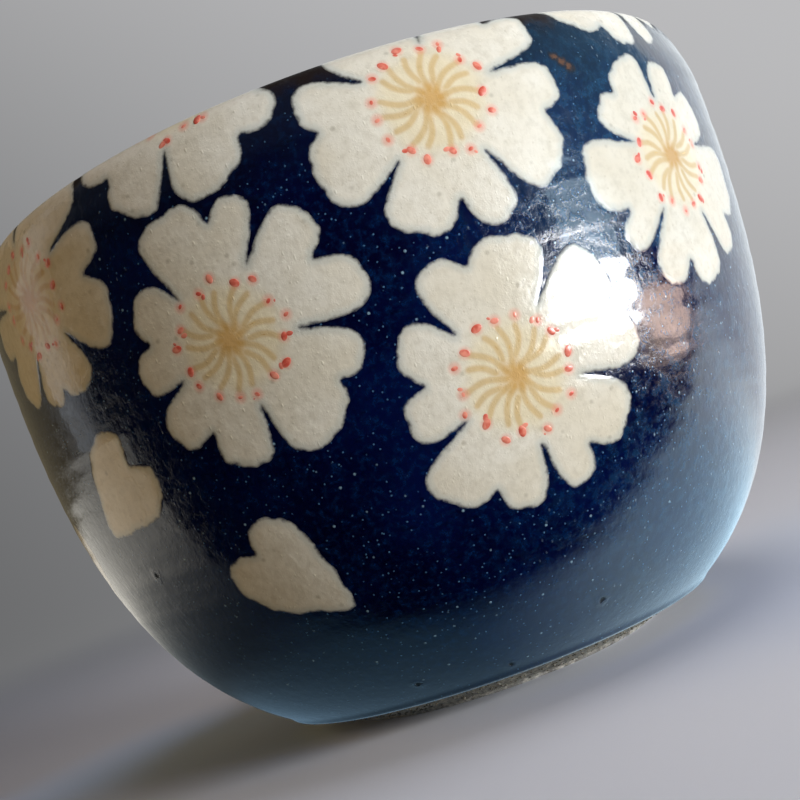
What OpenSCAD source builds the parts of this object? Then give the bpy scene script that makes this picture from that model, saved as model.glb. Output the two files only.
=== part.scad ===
// Guinomi sake cup: stoneware clay with a cream glaze inside, and outside a
// cobalt ground that leaves cherry blossoms and loose petals white.
// Millimetres. The origin is the centre of the foot's resting face, +Z is up.
// Azimuths are degrees from -Y towards +X.

/* [Cup] */
// Height from the resting face to the crown of the lip
cup_h = 46.5; // [38:0.5:54]
// Widest radius of the glazed outside
belly_r = 32.6; // [29:0.2:37]
// How far below the crown of the lip the cup is widest
belly_drop = 5.5; // [4:0.5:9]
// How full the outside curve is between belly and foot, 2 being an ellipse
belly_swell = 2.7; // [2.2:0.1:3.2]
// How far the wall draws in between the belly and the lip
lip_draw = 0.7; // [0:0.1:1.6]
// Radius of the rounded lip
lip_r = 1.9; // [1.2:0.1:2.1]

/* [Inside] */
// Wall thickness at the belly, both glazes included
wall_t = 3.6; // [2.6:0.1:5]
// Thickness of the floor above the foot ring, inside glaze included
floor_t = 4.2; // [2.5:0.1:7]
// How full the inside curve is between belly and floor
inside_swell = 3; // [2.3:0.1:3.4]

/* [Foot] */
// Height of the foot ring, up to the edge of the glaze
foot_h = 1.7; // [1:0.1:3]
// Radius of the outside where the glaze ends
glaze_edge_r = 18.8; // [17:0.2:22]
// Outer radius of the resting face
ring_r = 14.2; // [12.5:0.2:15.5]
// Width of the resting face
ring_w = 3.4; // [2:0.1:4.5]
// Bevel on both edges of the resting face
ring_bevel = 0.35; // [0.1:0.05:0.6]

/* [Glaze] */
// Thickness of the glaze and of the painted ground
glaze_t = 0.4; // [0.25:0.05:0.7]

/* [Blossoms] */
// Radius of a blossom, from its middle to the tips of its petals, as a share of the cup's
// height and as a share of the belly's radius: the smaller of the two holds
blossom_height_share = 0.2065; // [0.17:0.0005:0.21]
blossom_round_share = 0.2945; // [0.24:0.0005:0.3]
// Length of a loose petal
loose_l = 9.6; // [7:0.1:10.5]
// Stamens of one blossom
stamen_count = 17; // [9:1:19]
// Distance from a blossom's middle to the outer ends of its stamens
stamen_r = 3.25; // [2.9:0.05:3.6]
// Bare distance from a blossom's middle to the inner ends of its stamens
heart_r = 1.2; // [1.1:0.05:1.5]
// Width of a stamen
stamen_w = 0.34; // [0.2:0.02:0.38]
// How far a stamen stands proud of the glaze
stamen_t = 0.12; // [0.1:0.02:0.3]
// Radius of an anther
anther_r = 0.32; // [0.2:0.02:0.4]
// How far an anther stands proud of the glaze
anther_t = 0.16; // [0.1:0.02:0.3]
// Gap between a stamen's end and its anther
anther_gap = 0.15; // [0.1:0.05:0.4]

/* [Hidden] */
// Height where the lip's curve starts, and height at which the cup is widest
lip_z = cup_h - lip_r;
belly_z = cup_h - belly_drop;
// Radius of the circle along the lip's crown
crown_r = belly_r - lip_draw - lip_r;
// Height of the glazed floor inside
floor_z = foot_h + floor_t;
// How far cutting prisms run past what they cut
overrun = 1;
// Facets of the turned pieces
$fn = 120;
// Steps along the belly's curve, along the drawn-in top and round half the lip
belly_steps = 18;
top_steps = 3;
lip_steps = 5;

// Radius of a blossom, from its middle to the tips of its petals
blossom_r = min(blossom_height_share * cup_h, blossom_round_share * belly_r);
// How far a painted petal may turn from its place, its usual length as a share of the
// blossom's radius, and how much that share may differ
petal_turn = 4;
petal_length_share = 0.96;
petal_spread_share = 0.05;
// A number between -1 and 1 that looks random, the same each time
function whim(a, b) = sin(97 * a + 151 * b);
// Five petals evenly spread, each a little out of its place
function spray(turn) = [
    for (k = [0:4]) [
        turn + 72 * k + petal_turn * whim(turn, k),
        petal_length_share + petal_spread_share * whim(k, turn)
    ]
];
// Blossoms: azimuth, height as a share of the cup's height, and for each petal its direction
// and its length as a share of the blossom's radius. What a height has over 1 is the share of
// the blossom's radius by which its middle is above the lip. The first blossoms have stamens,
// the last are cut by the lip: one shows some anthers, one only petals.
blossom_shares = [
    [-18, 0.665, [[-133, 0.9], [-45, 0.97], [20, 1.04], [80, 1], [160, 0.82]]],
    [13, 0.478, [[-126, 0.97], [-44, 0.95], [28, 1.05], [90, 0.98], [165, 0.84]]],
    [14, 0.89, [[-152, 0.95], [-84, 0.97], [-14, 1.04], [52, 1.03], [124, 0.76]]],
    [47.5, 0.73, [[-160, 1], [-100, 1.02], [-31, 1.02], [49, 0.86], [124, 0.92]]],
    [-48, 0.86, [[-150, 0.97], [-84, 0.88], [-12, 1], [62, 1], [134, 0.98]]],
    [88, 0.80, spray(-150)], [118, 0.52, spray(-140)], [138, 0.89, spray(-172)],
    [166, 0.60, spray(-130)], [198, 0.86, spray(-160)], [229, 0.56, spray(-144)],
    [262, 0.84, spray(-165)],
    [-16.5, 1.3, [[-143, 0.98], [-61, 0.94], [14, 1], [82, 1], [152, 1]]],
    [49, 1.581, [[-113, 1], [-52, 1], [20, 1], [95, 1], [170, 1]]],
];
function blossom_z(share) = cup_h * min(share, 1) + blossom_r * max(share - 1, 0);
blossoms = len(blossom_shares);
blossoms_with_stamens = 12;
blossoms_with_anthers = 13;
// Loose petals: azimuth, height as a share of the cup's height, turn in degrees
loose_shares = [
    [-45.5, 0.514, 34], [-23.6, 0.305, 128],
    [96, 0.28, 70], [146, 0.25, 115], [192, 0.30, 55], [250, 0.24, 120], [286, 0.42, 80],
];
loose = len(loose_shares);
// Outline of one painted petal, from slit to slit: place as a share of the way from the petal's
// middle to the slit beside it, and distance as a share of the petal's length
petal_shares = [
    [-0.96, 0.58], [-0.94, 0.71], [-0.91, 0.83], [-0.86, 0.92], [-0.76, 0.98], [-0.58, 1],
    [-0.38, 1], [-0.22, 0.97], [-0.11, 0.92], [-0.03, 0.85], [0.04, 0.86], [0.1, 0.92],
    [0.22, 0.98], [0.4, 1], [0.6, 1], [0.76, 0.97], [0.86, 0.91], [0.91, 0.81], [0.94, 0.7],
    [0.96, 0.57],
];
// Where the slit between two petals ends, as a share of the blossom's radius
slit_share = 0.5;
// Outline of a loose petal from its point: shares of its length along and across
heart_shares = [
    [0, 0], [0.2, 0.15], [0.42, 0.31], [0.64, 0.4], [0.84, 0.39], [0.96, 0.29], [1, 0.18],
    [0.95, 0.08], [0.84, 0], [0.93, -0.09], [0.98, -0.19], [0.94, -0.31], [0.8, -0.4],
    [0.6, -0.38], [0.38, -0.27], [0.18, -0.13],
];
// Place of a loose petal's middle along its length
heart_middle_share = 0.5;
// Stamens: stations along their length, widths there, bend, how much shorter one may end,
// where a short one starts, and how far one may stray towards its neighbour
stamen_stations = [0, 0.33, 0.67, 1];
stamen_width_shares = [0.7, 1, 0.9, 0.6];
stamen_bend_share = 0.12;
stamen_end_share = 0.04;
short_start_share = 0.35;
stamen_turn_share = 0.12;
// Anthers: how far one may lie out, as a share of its radius
anther_spread_share = 0.9;

// Depth of the curve from belly to where it would close at the axis
outer_depth = (belly_z - foot_h)
    / pow(1 - pow(glaze_edge_r / belly_r, belly_swell), 1 / belly_swell);

// Radius of the outside at a height, level with the lip's start above it
function outside_r(z) = z < belly_z
    ? belly_r * pow(1 - pow((belly_z - z) / outer_depth, belly_swell), 1 / belly_swell)
    : belly_r - lip_draw * pow((min(z, lip_z) - belly_z) / (lip_z - belly_z), 2);

// Degrees by which the outside faces down at a height
function outside_tilt(z) = atan2(
    outside_r(min(z, belly_z)) - outside_r(min(z, belly_z) - glaze_t), glaze_t);

// One quarter of a full curve: from the belly, at 0 degrees, down to the axis, at 90
function full_curve(radius, depth, swell, a) =
    [radius * pow(cos(a), 2 / swell), belly_z - depth * pow(sin(a), 2 / swell)];

// Where the outside curve meets the edge of the glaze
edge_angle = asin(pow((belly_z - foot_h) / outer_depth, belly_swell / 2));

// Section of the glazed surface from the edge of the glaze, over the lip, to the floor's middle
outside_points = concat(
    [for (i = [belly_steps:-1:0])
        full_curve(belly_r, outer_depth, belly_swell, edge_angle * i / belly_steps)],
    [for (i = [1:top_steps])
        let (z = belly_z + (lip_z - belly_z) * i / top_steps) [outside_r(z), z]],
    [for (i = [1:lip_steps])
        [crown_r + lip_r * cos(90 * i / lip_steps), lip_z + lip_r * sin(90 * i / lip_steps)]]
);
inside_points = concat(
    [for (i = [1:lip_steps])
        [crown_r - lip_r * sin(90 * i / lip_steps), lip_z + lip_r * cos(90 * i / lip_steps)]],
    [for (i = [top_steps - 1:-1:0])
        let (s = i / top_steps)
        [belly_r - wall_t - (belly_r - wall_t - crown_r + lip_r) * s * s,
            belly_z + (lip_z - belly_z) * s]],
    [for (i = [1:belly_steps])
        full_curve(belly_r - wall_t, belly_z - floor_z, inside_swell, 90 * i / belly_steps)]
);
glazed = concat(outside_points, inside_points);
crown = len(outside_points) - 1;
last = len(glazed) - 1;

// The same section one glaze thickness deeper, where the clay is
function deeper(i) =
    let (step = glazed[i + 1] - glazed[i - 1])
    glazed[i] - glaze_t * [step[1], -step[0]] / norm(step);
clay_points = concat(
    [glazed[0] - [glaze_t, 0]],
    [for (i = [1:last - 1]) deeper(i)],
    [glazed[last] - [0, glaze_t]]
);

// Clay of the bowl, thrown in one piece
module clay_body() {
    color("rosybrown")
    rotate_extrude()
    polygon(concat([[0, foot_h]], clay_points));
}

// Turned ring of bare clay that the cup stands on
module foot_ring() {
    color("dimgray")
    rotate_extrude()
    polygon([
        [ring_r - ring_w + ring_bevel, 0],
        [ring_r - ring_bevel, 0],
        [ring_r, ring_bevel],
        [glaze_edge_r - glaze_t, foot_h],
        [ring_r - ring_w - ring_bevel, foot_h],
        [ring_r - ring_w, ring_bevel],
    ]);
}

// Cream glaze from the crown of the lip down over the floor
module inner_glaze() {
    color("ivory")
    rotate_extrude()
    polygon(concat(
        [for (i = [crown:last]) glazed[i]],
        [for (i = [last:-1:crown]) clay_points[i]]
    ));
}

// The outside surface moved outwards by a distance, from the glaze's edge to the lip's crown
function lifted(d) = concat(
    [glazed[0] + [d, 0]],
    [for (i = [1:crown]) let (step = glazed[i + 1] - glazed[i - 1])
        glazed[i] + d * [step[1], -step[0]] / norm(step)]
);

// Turned shell on the outside, proud of the glazed surface and deep under it
module outer_shell(proud, deep) {
    rotate_extrude()
    polygon(concat(
        lifted(proud),
        [for (i = [crown:-1:0]) lifted(-deep)[i]]
    ));
}

// Puts flat work on the outside, x to the right, y up the wall and z outwards
module on_wall(azimuth, z) {
    rotate(azimuth)
    translate([0, -outside_r(z), z])
    rotate([90 + outside_tilt(z), 0, 0])
    children();
}

// A point from its distance and its direction
function polar(r, a) = r * [cos(a), sin(a)];

// Outline of one painted blossom: each petal runs from the slit on its right to the one on its left
function blossom_points(petals) = [
    for (k = [0:4])
    let (
        middle = petals[k][0],
        length = blossom_r * petals[k][1],
        before = k > 0 ? petals[k - 1][0] : petals[4][0] - 360,
        after = k < 4 ? petals[k + 1][0] : petals[0][0] + 360,
        right = (middle - before) / 2,
        left = (after - middle) / 2
    )
    each concat(
        [polar(slit_share * blossom_r, middle - right)],
        [for (p = petal_shares)
            polar(length * p[1], middle + p[0] * (p[0] < 0 ? right : left))]
    )
];

// Outline of one loose petal, its point downwards before it is turned
function loose_points(turn) = [
    for (p = heart_shares)
    let (along = loose_l * (p[0] - heart_middle_share), across = loose_l * p[1])
    [along * cos(turn) - across * sin(turn), along * sin(turn) + across * cos(turn)]
];

// Prism through the glaze, which falls away behind the prism's middle as the wall turns
module prism(reach) {
    depth = reach * reach / belly_r + glaze_t;
    translate([0, 0, -depth])
    linear_extrude(depth + overrun)
    children();
}

// Window with the outline of a blossom or of a loose petal
module window(azimuth, z, reach, points) {
    on_wall(azimuth, z)
    prism(reach)
    polygon(points);
}
module blossom_window(which) {
    b = blossom_shares[which];
    window(b[0], blossom_z(b[1]), blossom_r, blossom_points(b[2]));
}
module loose_window(which) {
    p = loose_shares[which];
    window(p[0], p[1] * cup_h, loose_l, loose_points(p[2]));
}

// Cobalt ground under its glaze, with every blossom and loose petal left out
module cobalt_ground() {
    color("midnightblue")
    difference() {
        outer_shell(0, glaze_t);
        for (i = [0:blossoms - 1]) blossom_window(i);
        for (i = [0:loose - 1]) loose_window(i);
    }
}

// White of one blossom, flush with the ground round it
module petals(which) {
    color("linen")
    intersection() {
        outer_shell(0, glaze_t);
        blossom_window(which);
    }
}
module loose_petal(which) {
    color("linen")
    intersection() {
        outer_shell(0, glaze_t);
        loose_window(which);
    }
}

// Outline of one stamen from its start to its end, bent like a comma
function stamen_points(start, end, bend) =
    let (
        length = end - start,
        middle = [for (s = stamen_stations) [start + length * s, length * bend * sin(180 * s)]],
        half = [for (share = stamen_width_shares) [0, share * stamen_w / 2]]
    )
    concat(
        [for (k = [0:3]) middle[k] + half[k]],
        [for (k = [3:-1:0]) middle[k] - half[k]]
    );

// Prisms of one raised thing for each stamen of a blossom, turned round its middle
module round_the_heart(which) {
    b = blossom_shares[which];
    on_wall(b[0], blossom_z(b[1]))
    prism(stamen_r)
    for (k = [0:stamen_count - 1]) {
        $whim = whim(which + k, 3 * k);
        $odd = k % 2;
        rotate(b[2][0][0] + 360 * (k + stamen_turn_share * whim(which, k)) / stamen_count)
        children();
    }
}

// Raised yellow stamens of one blossom, long and short in turn
module stamens(which) {
    color("goldenrod")
    intersection() {
        outer_shell(stamen_t, 0);
        round_the_heart(which)
        polygon(stamen_points(
            heart_r + (stamen_r - heart_r) * short_start_share * $odd,
            stamen_r * (1 - stamen_end_share * (1 + $whim)),
            which % 2 == 0 ? stamen_bend_share : -stamen_bend_share
        ));
    }
}

// Raised red anthers past the ends of the stamens of one blossom
module anthers(which) {
    color("tomato")
    intersection() {
        outer_shell(anther_t, 0);
        round_the_heart(which)
        translate([stamen_r + anther_gap + anther_r * (1 + anther_spread_share * (1 + $whim)), 0])
        circle(anther_r, $fn = 24);
    }
}

clay_body();
foot_ring();
inner_glaze();
cobalt_ground();
for (i = [1:blossoms])
    petals(i - 1);
for (i = [1:blossoms_with_stamens])
    stamens(i - 1);
for (i = [1:blossoms_with_anthers])
    anthers(i - 1);
for (i = [1:loose])
    loose_petal(i - 1);
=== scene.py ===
import math

import bmesh
import bpy
import numpy as np
from mathutils import Matrix, Vector


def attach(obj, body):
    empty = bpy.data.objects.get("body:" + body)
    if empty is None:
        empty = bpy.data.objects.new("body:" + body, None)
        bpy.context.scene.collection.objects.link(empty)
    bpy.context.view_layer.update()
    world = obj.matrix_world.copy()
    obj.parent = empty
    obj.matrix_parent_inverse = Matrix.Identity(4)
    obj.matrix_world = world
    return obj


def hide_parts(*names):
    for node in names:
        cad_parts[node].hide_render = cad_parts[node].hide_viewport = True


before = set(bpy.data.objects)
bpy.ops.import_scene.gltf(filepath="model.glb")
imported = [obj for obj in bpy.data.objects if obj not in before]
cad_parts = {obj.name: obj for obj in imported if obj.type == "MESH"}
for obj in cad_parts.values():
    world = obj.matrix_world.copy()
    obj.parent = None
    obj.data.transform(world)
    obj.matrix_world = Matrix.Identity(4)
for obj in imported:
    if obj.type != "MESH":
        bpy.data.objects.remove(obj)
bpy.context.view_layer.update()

# ---------------------------------------------------------------------------------------
# Clay bowl: stoneware thrown in one piece. Glaze covers all of it but the underside inside
# the foot ring, where the bare clay shows its turning marks, sand and iron specks.
# Lengths are millimetres here and metres in the meshes; azimuths run from -Y towards +X.
MM = 0.001
cup_h, lip_r, lip_draw = 46.5, 1.9, 0.7
belly_r, belly_z, belly_swell = 32.6, 41.0, 2.7
wall_t, floor_z, inside_swell = 3.6, 5.9, 3.0
foot_h, glaze_edge_r = 1.7, 18.8
lip_z = cup_h - lip_r
crown_r = belly_r - lip_draw - lip_r


def curve_to_axis(radius, depth, swell, angles):
    """Section from the belly, at angle 0, towards the axis, at a right angle."""
    return np.column_stack([
        radius * np.clip(np.cos(angles), 0, 1) ** (2 / swell),
        belly_z - depth * np.clip(np.sin(angles), 0, 1) ** (2 / swell),
    ])


def glazed_section():
    """Section of the glazed surface from the glaze's edge over the lip to the floor's middle,
    its even steps along the curve, and the directions out of it."""
    full = (1 - (glaze_edge_r / belly_r) ** belly_swell) ** (1 / belly_swell)
    outer_depth = (belly_z - foot_h) / full
    edge_angle = math.asin(full ** (belly_swell / 2))
    t = np.linspace(0, 1, 61)[1:]
    quarter = t * math.pi / 2
    inner_r = belly_r - wall_t
    rough = np.vstack([
        curve_to_axis(belly_r, outer_depth, belly_swell, edge_angle * np.linspace(1, 0, 400)),
        np.column_stack([belly_r - lip_draw * t * t, belly_z + (lip_z - belly_z) * t]),
        np.column_stack([crown_r + lip_r * np.cos(quarter), lip_z + lip_r * np.sin(quarter)]),
        np.column_stack([crown_r - lip_r * np.sin(quarter), lip_z + lip_r * np.cos(quarter)]),
        np.column_stack([
            inner_r - (inner_r - crown_r + lip_r) * (1 - t) ** 2,
            lip_z + (belly_z - lip_z) * t,
        ]),
        curve_to_axis(
            inner_r, belly_z - floor_z, inside_swell, np.linspace(0, math.pi / 2, 400)[1:]),
    ])
    along = np.append(0, np.cumsum(np.hypot(*np.diff(rough, axis=0).T)))
    even = np.append(np.arange(0, along[-1], 0.1), along[-1])
    section = np.column_stack([np.interp(even, along, rough[:, k]) for k in (0, 1)])
    # Where two curves meet, the corner is smoothed over about a millimetre
    soft = np.exp(-0.5 * (np.arange(-12, 13) / 5) ** 2)
    soft /= soft.sum()
    for k in (0, 1):
        section[12:-12, k] = np.convolve(section[:, k], soft, "valid")
    step = np.gradient(section, even, axis=0)
    step /= np.linalg.norm(step, axis=1)[:, None]
    return even, section, np.column_stack([step[:, 1], -step[:, 0]])


even, section, outwards = glazed_section()
crown_at = int(np.argmax(section[:, 1]))
crown_up = float(even[crown_at])
lip_up = float(np.interp(lip_z, section[:crown_at, 1], even[:crown_at]))


def thrown(turn, height):
    """How far the potter's hand left the wall out of true, at an angle and a height."""
    # Millimetres deep, waves round the cup, turn of the wave per millimetre up, its start
    waves = (
        (0.07, 2, 0, 0.8), (0.04, 3, 0.03, 2.1), (0.018, 5, 0.21, 0.4), (0.01, 7, -0.4, 1.7),
        (0.012, 0, 2.3, 0), (0.008, 1, 4.1, 1),
    )
    return sum(
        size * np.sin(times * turn + per_mm * height + phase)
        for size, times, per_mm, phase in waves
    )


def on_glaze(azimuth, up, proud):
    """Points on the glazed surface: degrees round, millimetres along the wall from the glaze's
    edge, over the lip and down inside, and millimetres proud of it."""
    azimuth, up, proud = np.broadcast_arrays(azimuth, up, proud)
    turn = np.radians(azimuth)
    r, z, out_r, out_z = (
        np.interp(up, even, column) for column in (*section.T, *outwards.T)
    )
    # The wall is truest at its foot and in the middle of the floor, and the lip rises and falls
    loose = np.clip(z / 15, 0, 1) * np.clip(r / 12, 0, 1)
    lip_wave = 0.1 * (z / cup_h) ** 4 * np.sin(2 * turn + 0.4)
    r = r + proud * out_r + loose * thrown(turn, z)
    z = z + proud * out_z + lip_wave
    return np.stack([r * np.sin(turn), -r * np.cos(turn), z], -1) * MM


def plug(tree, socket, value):
    """Links an output to a socket or sets its value; a colour is its red, green and blue."""
    if isinstance(value, bpy.types.NodeSocket):
        tree.links.new(value, socket)
    else:
        socket.default_value = (*value, 1) if socket.type == "RGBA" else value


def put(tree, kind, options=None, **inputs):
    """Adds a node; inputs are named as its sockets, with _ for a space."""
    made = tree.nodes.new(kind)
    for name, value in (options or {}).items():
        setattr(made, name, value)
    for name, value in inputs.items():
        plug(tree, made.inputs[name.replace("_", " ")], value)
    return made


def calc(tree, operation, *values):
    made = put(tree, "ShaderNodeMath", {"operation": operation})
    for socket, value in zip(made.inputs, values):
        plug(tree, socket, value)
    return made.outputs[0]


def product(tree, *shares):
    made = shares[0]
    for share in shares[1:]:
        made = calc(tree, "MULTIPLY", made, share)
    return made


def fade(tree, value, low, high, start=0.0, end=1.0):
    """Smooth step of a value from start, at low, to end, at high."""
    return put(
        tree, "ShaderNodeMapRange", {"interpolation_type": "SMOOTHSTEP"},
        Value=value, From_Min=low, From_Max=high, To_Min=start, To_Max=end,
    ).outputs[0]


def mix(tree, share, first, second):
    """From the first colour, at a share of 0, to the second, at 1."""
    made = put(tree, "ShaderNodeMix", {"data_type": "RGBA"})
    for k, value in ((0, share), (6, first), (7, second)):
        plug(tree, made.inputs[k], value)
    return made.outputs[2]


def millimetres(tree, stretch=(1, 1, 1)):
    """Object coordinates in millimetres."""
    made = put(tree, "ShaderNodeVectorMath", {"operation": "MULTIPLY"})
    plug(tree, made.inputs[0], put(tree, "ShaderNodeTexCoord").outputs["Object"])
    made.inputs[1].default_value = [s / MM for s in stretch]
    return made.outputs[0]


def cloud(tree, where, per_mm, detail=3.0, roughness=0.55):
    """Soft noise with so many spots to a millimetre."""
    return put(
        tree, "ShaderNodeTexNoise",
        Vector=where, Scale=per_mm, Detail=detail, Roughness=roughness,
    ).outputs[0]


def sway(tree, noise, width):
    """Noise brought round 0, so wide in all."""
    return product(tree, calc(tree, "SUBTRACT", noise, 0.5), width)


def dots(tree, where, per_mm, few, small, large):
    """Round dots in some of the cells: 1 within small, 0 past large, as shares of a cell."""
    made = put(tree, "ShaderNodeTexVoronoi", Vector=where, Scale=per_mm)
    chosen = put(tree, "ShaderNodeSeparateColor", Color=made.outputs["Color"]).outputs[0]
    return product(
        tree, fade(tree, made.outputs["Distance"], small, large, 1, 0),
        calc(tree, "GREATER_THAN", chosen, few),
    )


def group(name, inputs, outputs, kind="Shader"):
    """A new node group, the sockets of its input and those of its output."""
    tree = bpy.data.node_groups.new(name, kind + "NodeTree")
    for direction, sockets in (("INPUT", inputs), ("OUTPUT", outputs)):
        for socket, holds in sockets.items():
            tree.interface.new_socket(
                name=socket, in_out=direction, socket_type="NodeSocket" + holds)
    given = tree.nodes.new("NodeGroupInput").outputs
    return tree, given, tree.nodes.new("NodeGroupOutput").inputs


def use(tree, shared, **inputs):
    """The outputs of a shared group."""
    return put(tree, "ShaderNodeGroup", {"node_tree": shared}, **inputs).outputs


def carried(tree, name):
    """A value that the mesh carries at its points."""
    return put(tree, "ShaderNodeAttribute", {"attribute_name": name}).outputs["Fac"]


def new_finish(name, **values):
    """A new material, its tree and its Principled shader's inputs, set to some values."""
    material = bpy.data.materials.new(name)
    material.use_nodes = True
    shader = material.node_tree.nodes["Principled BSDF"].inputs
    for socket, value in values.items():
        shader[socket.replace("_", " ")].default_value = value
    return material, material.node_tree, shader


def relief(tree, shader, height, strength=1.0):
    """Bump from a height in millimetres."""
    plug(tree, shader["Normal"], put(
        tree, "ShaderNodeBump", Strength=strength, Distance=MM, Height=height).outputs[0])


stoneware, given, out = group(
    "stoneware", {"Dark": "Color", "Light": "Color"},
    {"Color": "Color", "Roughness": "Float", "Height": "Float"},
)
tree = stoneware
here = millimetres(tree)
sand = cloud(tree, here, 2.6, 4, 0.65)
patch = cloud(tree, here, 0.35)
pale_grains = dots(tree, here, 1.9, 0.55, 0.1, 0.26)
iron = dots(tree, here, 1.1, 0.72, 0.08, 0.2)
body_colour = mix(tree, fade(tree, sand, 0.35, 0.68), given["Dark"], given["Light"])
body_colour = mix(tree, fade(tree, patch, 0.4, 0.75, 0, 0.45), body_colour, (0.1, 0.075, 0.05))
body_colour = mix(tree, pale_grains, body_colour, (0.42, 0.39, 0.32))
plug(tree, out["Color"], mix(tree, iron, body_colour, (0.022, 0.014, 0.01)))
plug(tree, out["Roughness"], fade(tree, sand, 0.3, 0.7, 0.75, 0.95))
plug(tree, out["Height"], calc(
    tree, "ADD", product(tree, sand, 0.12), product(tree, pale_grains, 0.05)))

clay_finish, tree, shader = new_finish("bare_stoneware")
clay = use(tree, stoneware, Dark=(0.13, 0.1, 0.07), Light=(0.27, 0.22, 0.165))
marks = put(
    tree, "ShaderNodeTexWave", {"wave_type": "RINGS", "rings_direction": "Z"},
    Vector=millimetres(tree), Scale=0.35, Distortion=1.5, Detail=2.0,
).outputs["Fac"]
plug(tree, shader["Base Color"], clay["Color"])
plug(tree, shader["Roughness"], clay["Roughness"])
relief(tree, shader, calc(tree, "ADD", clay["Height"], product(tree, marks, 0.08)))
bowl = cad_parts["clay_body"]
bowl.data.materials.clear()
bowl.data.materials.append(clay_finish)

# ---------------------------------------------------------------------------------------
# Foot ring: the turned ring of bare clay under the bowl, which rubs on the table. Its skin
# is torn by the turning tool, grains of sand stand out of it, and its edges are chipped.
ring_r, ring_w, ring_bevel = 14.2, 3.4, 0.35
ring_inside = ring_r - ring_w


def joined_rows(name, rows, material):
    """Closed skin over rows of points that run round the cup, the last joined to the first."""
    index = np.arange(rows.shape[0] * rows.shape[1]).reshape(rows.shape[:2])
    right, above = np.roll(index, -1, 1), np.roll(index, -1, 0)
    faces = np.stack([index, right, np.roll(right, -1, 0), above], -1).reshape(-1, 4)
    mesh = bpy.data.meshes.new(name)
    mesh.from_pydata(rows.reshape(-1, 3).tolist(), [], faces.tolist())
    return as_piece(name, mesh, material)


def as_piece(name, mesh, material, sharp=50):
    """Puts a mesh in the scene with smooth shading, but for edges past so many degrees."""
    mesh.validate()
    mesh.shade_smooth()
    mesh.set_sharp_from_angle(angle=math.radians(sharp))
    mesh.materials.clear()
    mesh.materials.append(material)
    made = bpy.data.objects.new(name, mesh)
    bpy.context.scene.collection.objects.link(made)
    return made


def stands_for(made, slot, *nodes):
    """Hangs a finished piece under the root and hides the CAD parts that it stands for. Its slot,
    the finish meant for it, is not used.
    """
    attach(made, "root")
    if nodes:
        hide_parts(*nodes)


def ring_surface():
    """Rows of points round the foot ring: its turned section, torn and chipped."""
    corners = np.array([
        (ring_r - ring_bevel, 0), (ring_r, ring_bevel), (glaze_edge_r - 0.2, foot_h + 0.02),
        (glaze_edge_r - 0.9, foot_h + 0.2), (ring_inside - ring_bevel, foot_h + 0.2),
        (ring_inside, ring_bevel), (ring_inside + ring_bevel, 0), (ring_r - ring_bevel, 0),
    ])
    along = np.append(0, np.cumsum(np.hypot(*np.diff(corners, axis=0).T)))
    steps = np.unique(np.concatenate([np.arange(0, along[-1], 0.28), along[:-1]]))
    r, z = (np.interp(steps, along, corners[:, k])[:, None] for k in (0, 1))
    turn = np.linspace(0, 2 * math.pi, 340, endpoint=False)[None, :]
    torn = (
        0.035 * np.sin(23 * turn + 2.1 * z + 3 * np.sin(5 * turn))
        + 0.03 * np.sin(61 * turn - 5 * z + r) + 0.02 * np.sin(127 * turn + 9 * z)
        + 0.03 * np.sin(5.2 * r + 2 * np.sin(3 * turn))
    )
    chips = sum(
        deep * np.exp(-((((turn - at + math.pi) % (2 * math.pi)) - math.pi) * ring_r / wide) ** 2)
        for at, deep, wide in (
            (0.2, 0.12, 0.9), (1.5, 0.2, 0.7), (2.9, 0.1, 1.2), (4.4, 0.22, 0.6), (5.5, 0.12, 0.8))
    )
    edge = np.exp(-((r - ring_r) / 0.5) ** 2) * np.exp(-((z - 0.2) / 0.4) ** 2)
    free = np.clip(z / 0.25, 0, 1) * np.clip((foot_h + 0.1 - z) / 0.3, 0, 1)
    side = np.where(r > ring_r - ring_w / 2, 1, -1)
    r = r + side * (free * torn - edge * chips)
    z = z + edge * chips * 0.6 + 0 * turn
    r = r + 0 * turn
    return np.stack([r * np.sin(turn), -r * np.cos(turn), z], -1) * MM


foot_finish, tree, shader = new_finish("foot_stoneware")
# The foot's clay is paler than the bowl's: partly its own grey, partly painted light to make up for
# the shade under the bowl's belly
clay = use(tree, stoneware, Dark=(0.26, 0.255, 0.24), Light=(0.78, 0.77, 0.73))
plug(tree, shader["Base Color"], clay["Color"])
plug(tree, shader["Roughness"], clay["Roughness"])
relief(tree, shader, clay["Height"])
foot = joined_rows("turned_foot_ring", ring_surface(), foot_finish)


def grower(name, inputs):
    """A new Geometry Nodes group that grows something on a mesh, in a finish."""
    inputs = {"Geometry": "Geometry", **inputs, "Finish": "Material"}
    return group(name, inputs, {"Geometry": "Geometry"}, "Geometry")


def put_out(tree, given, out, grown_on):
    """Ends a Geometry Nodes group: what it grew is made real and given its finish."""
    solid = put(tree, "GeometryNodeRealizeInstances", Geometry=grown_on.outputs[0])
    plug(tree, out["Geometry"], put(
        tree, "GeometryNodeSetMaterial", Geometry=solid.outputs[0], Material=given["Finish"],
    ).outputs[0])


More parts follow.
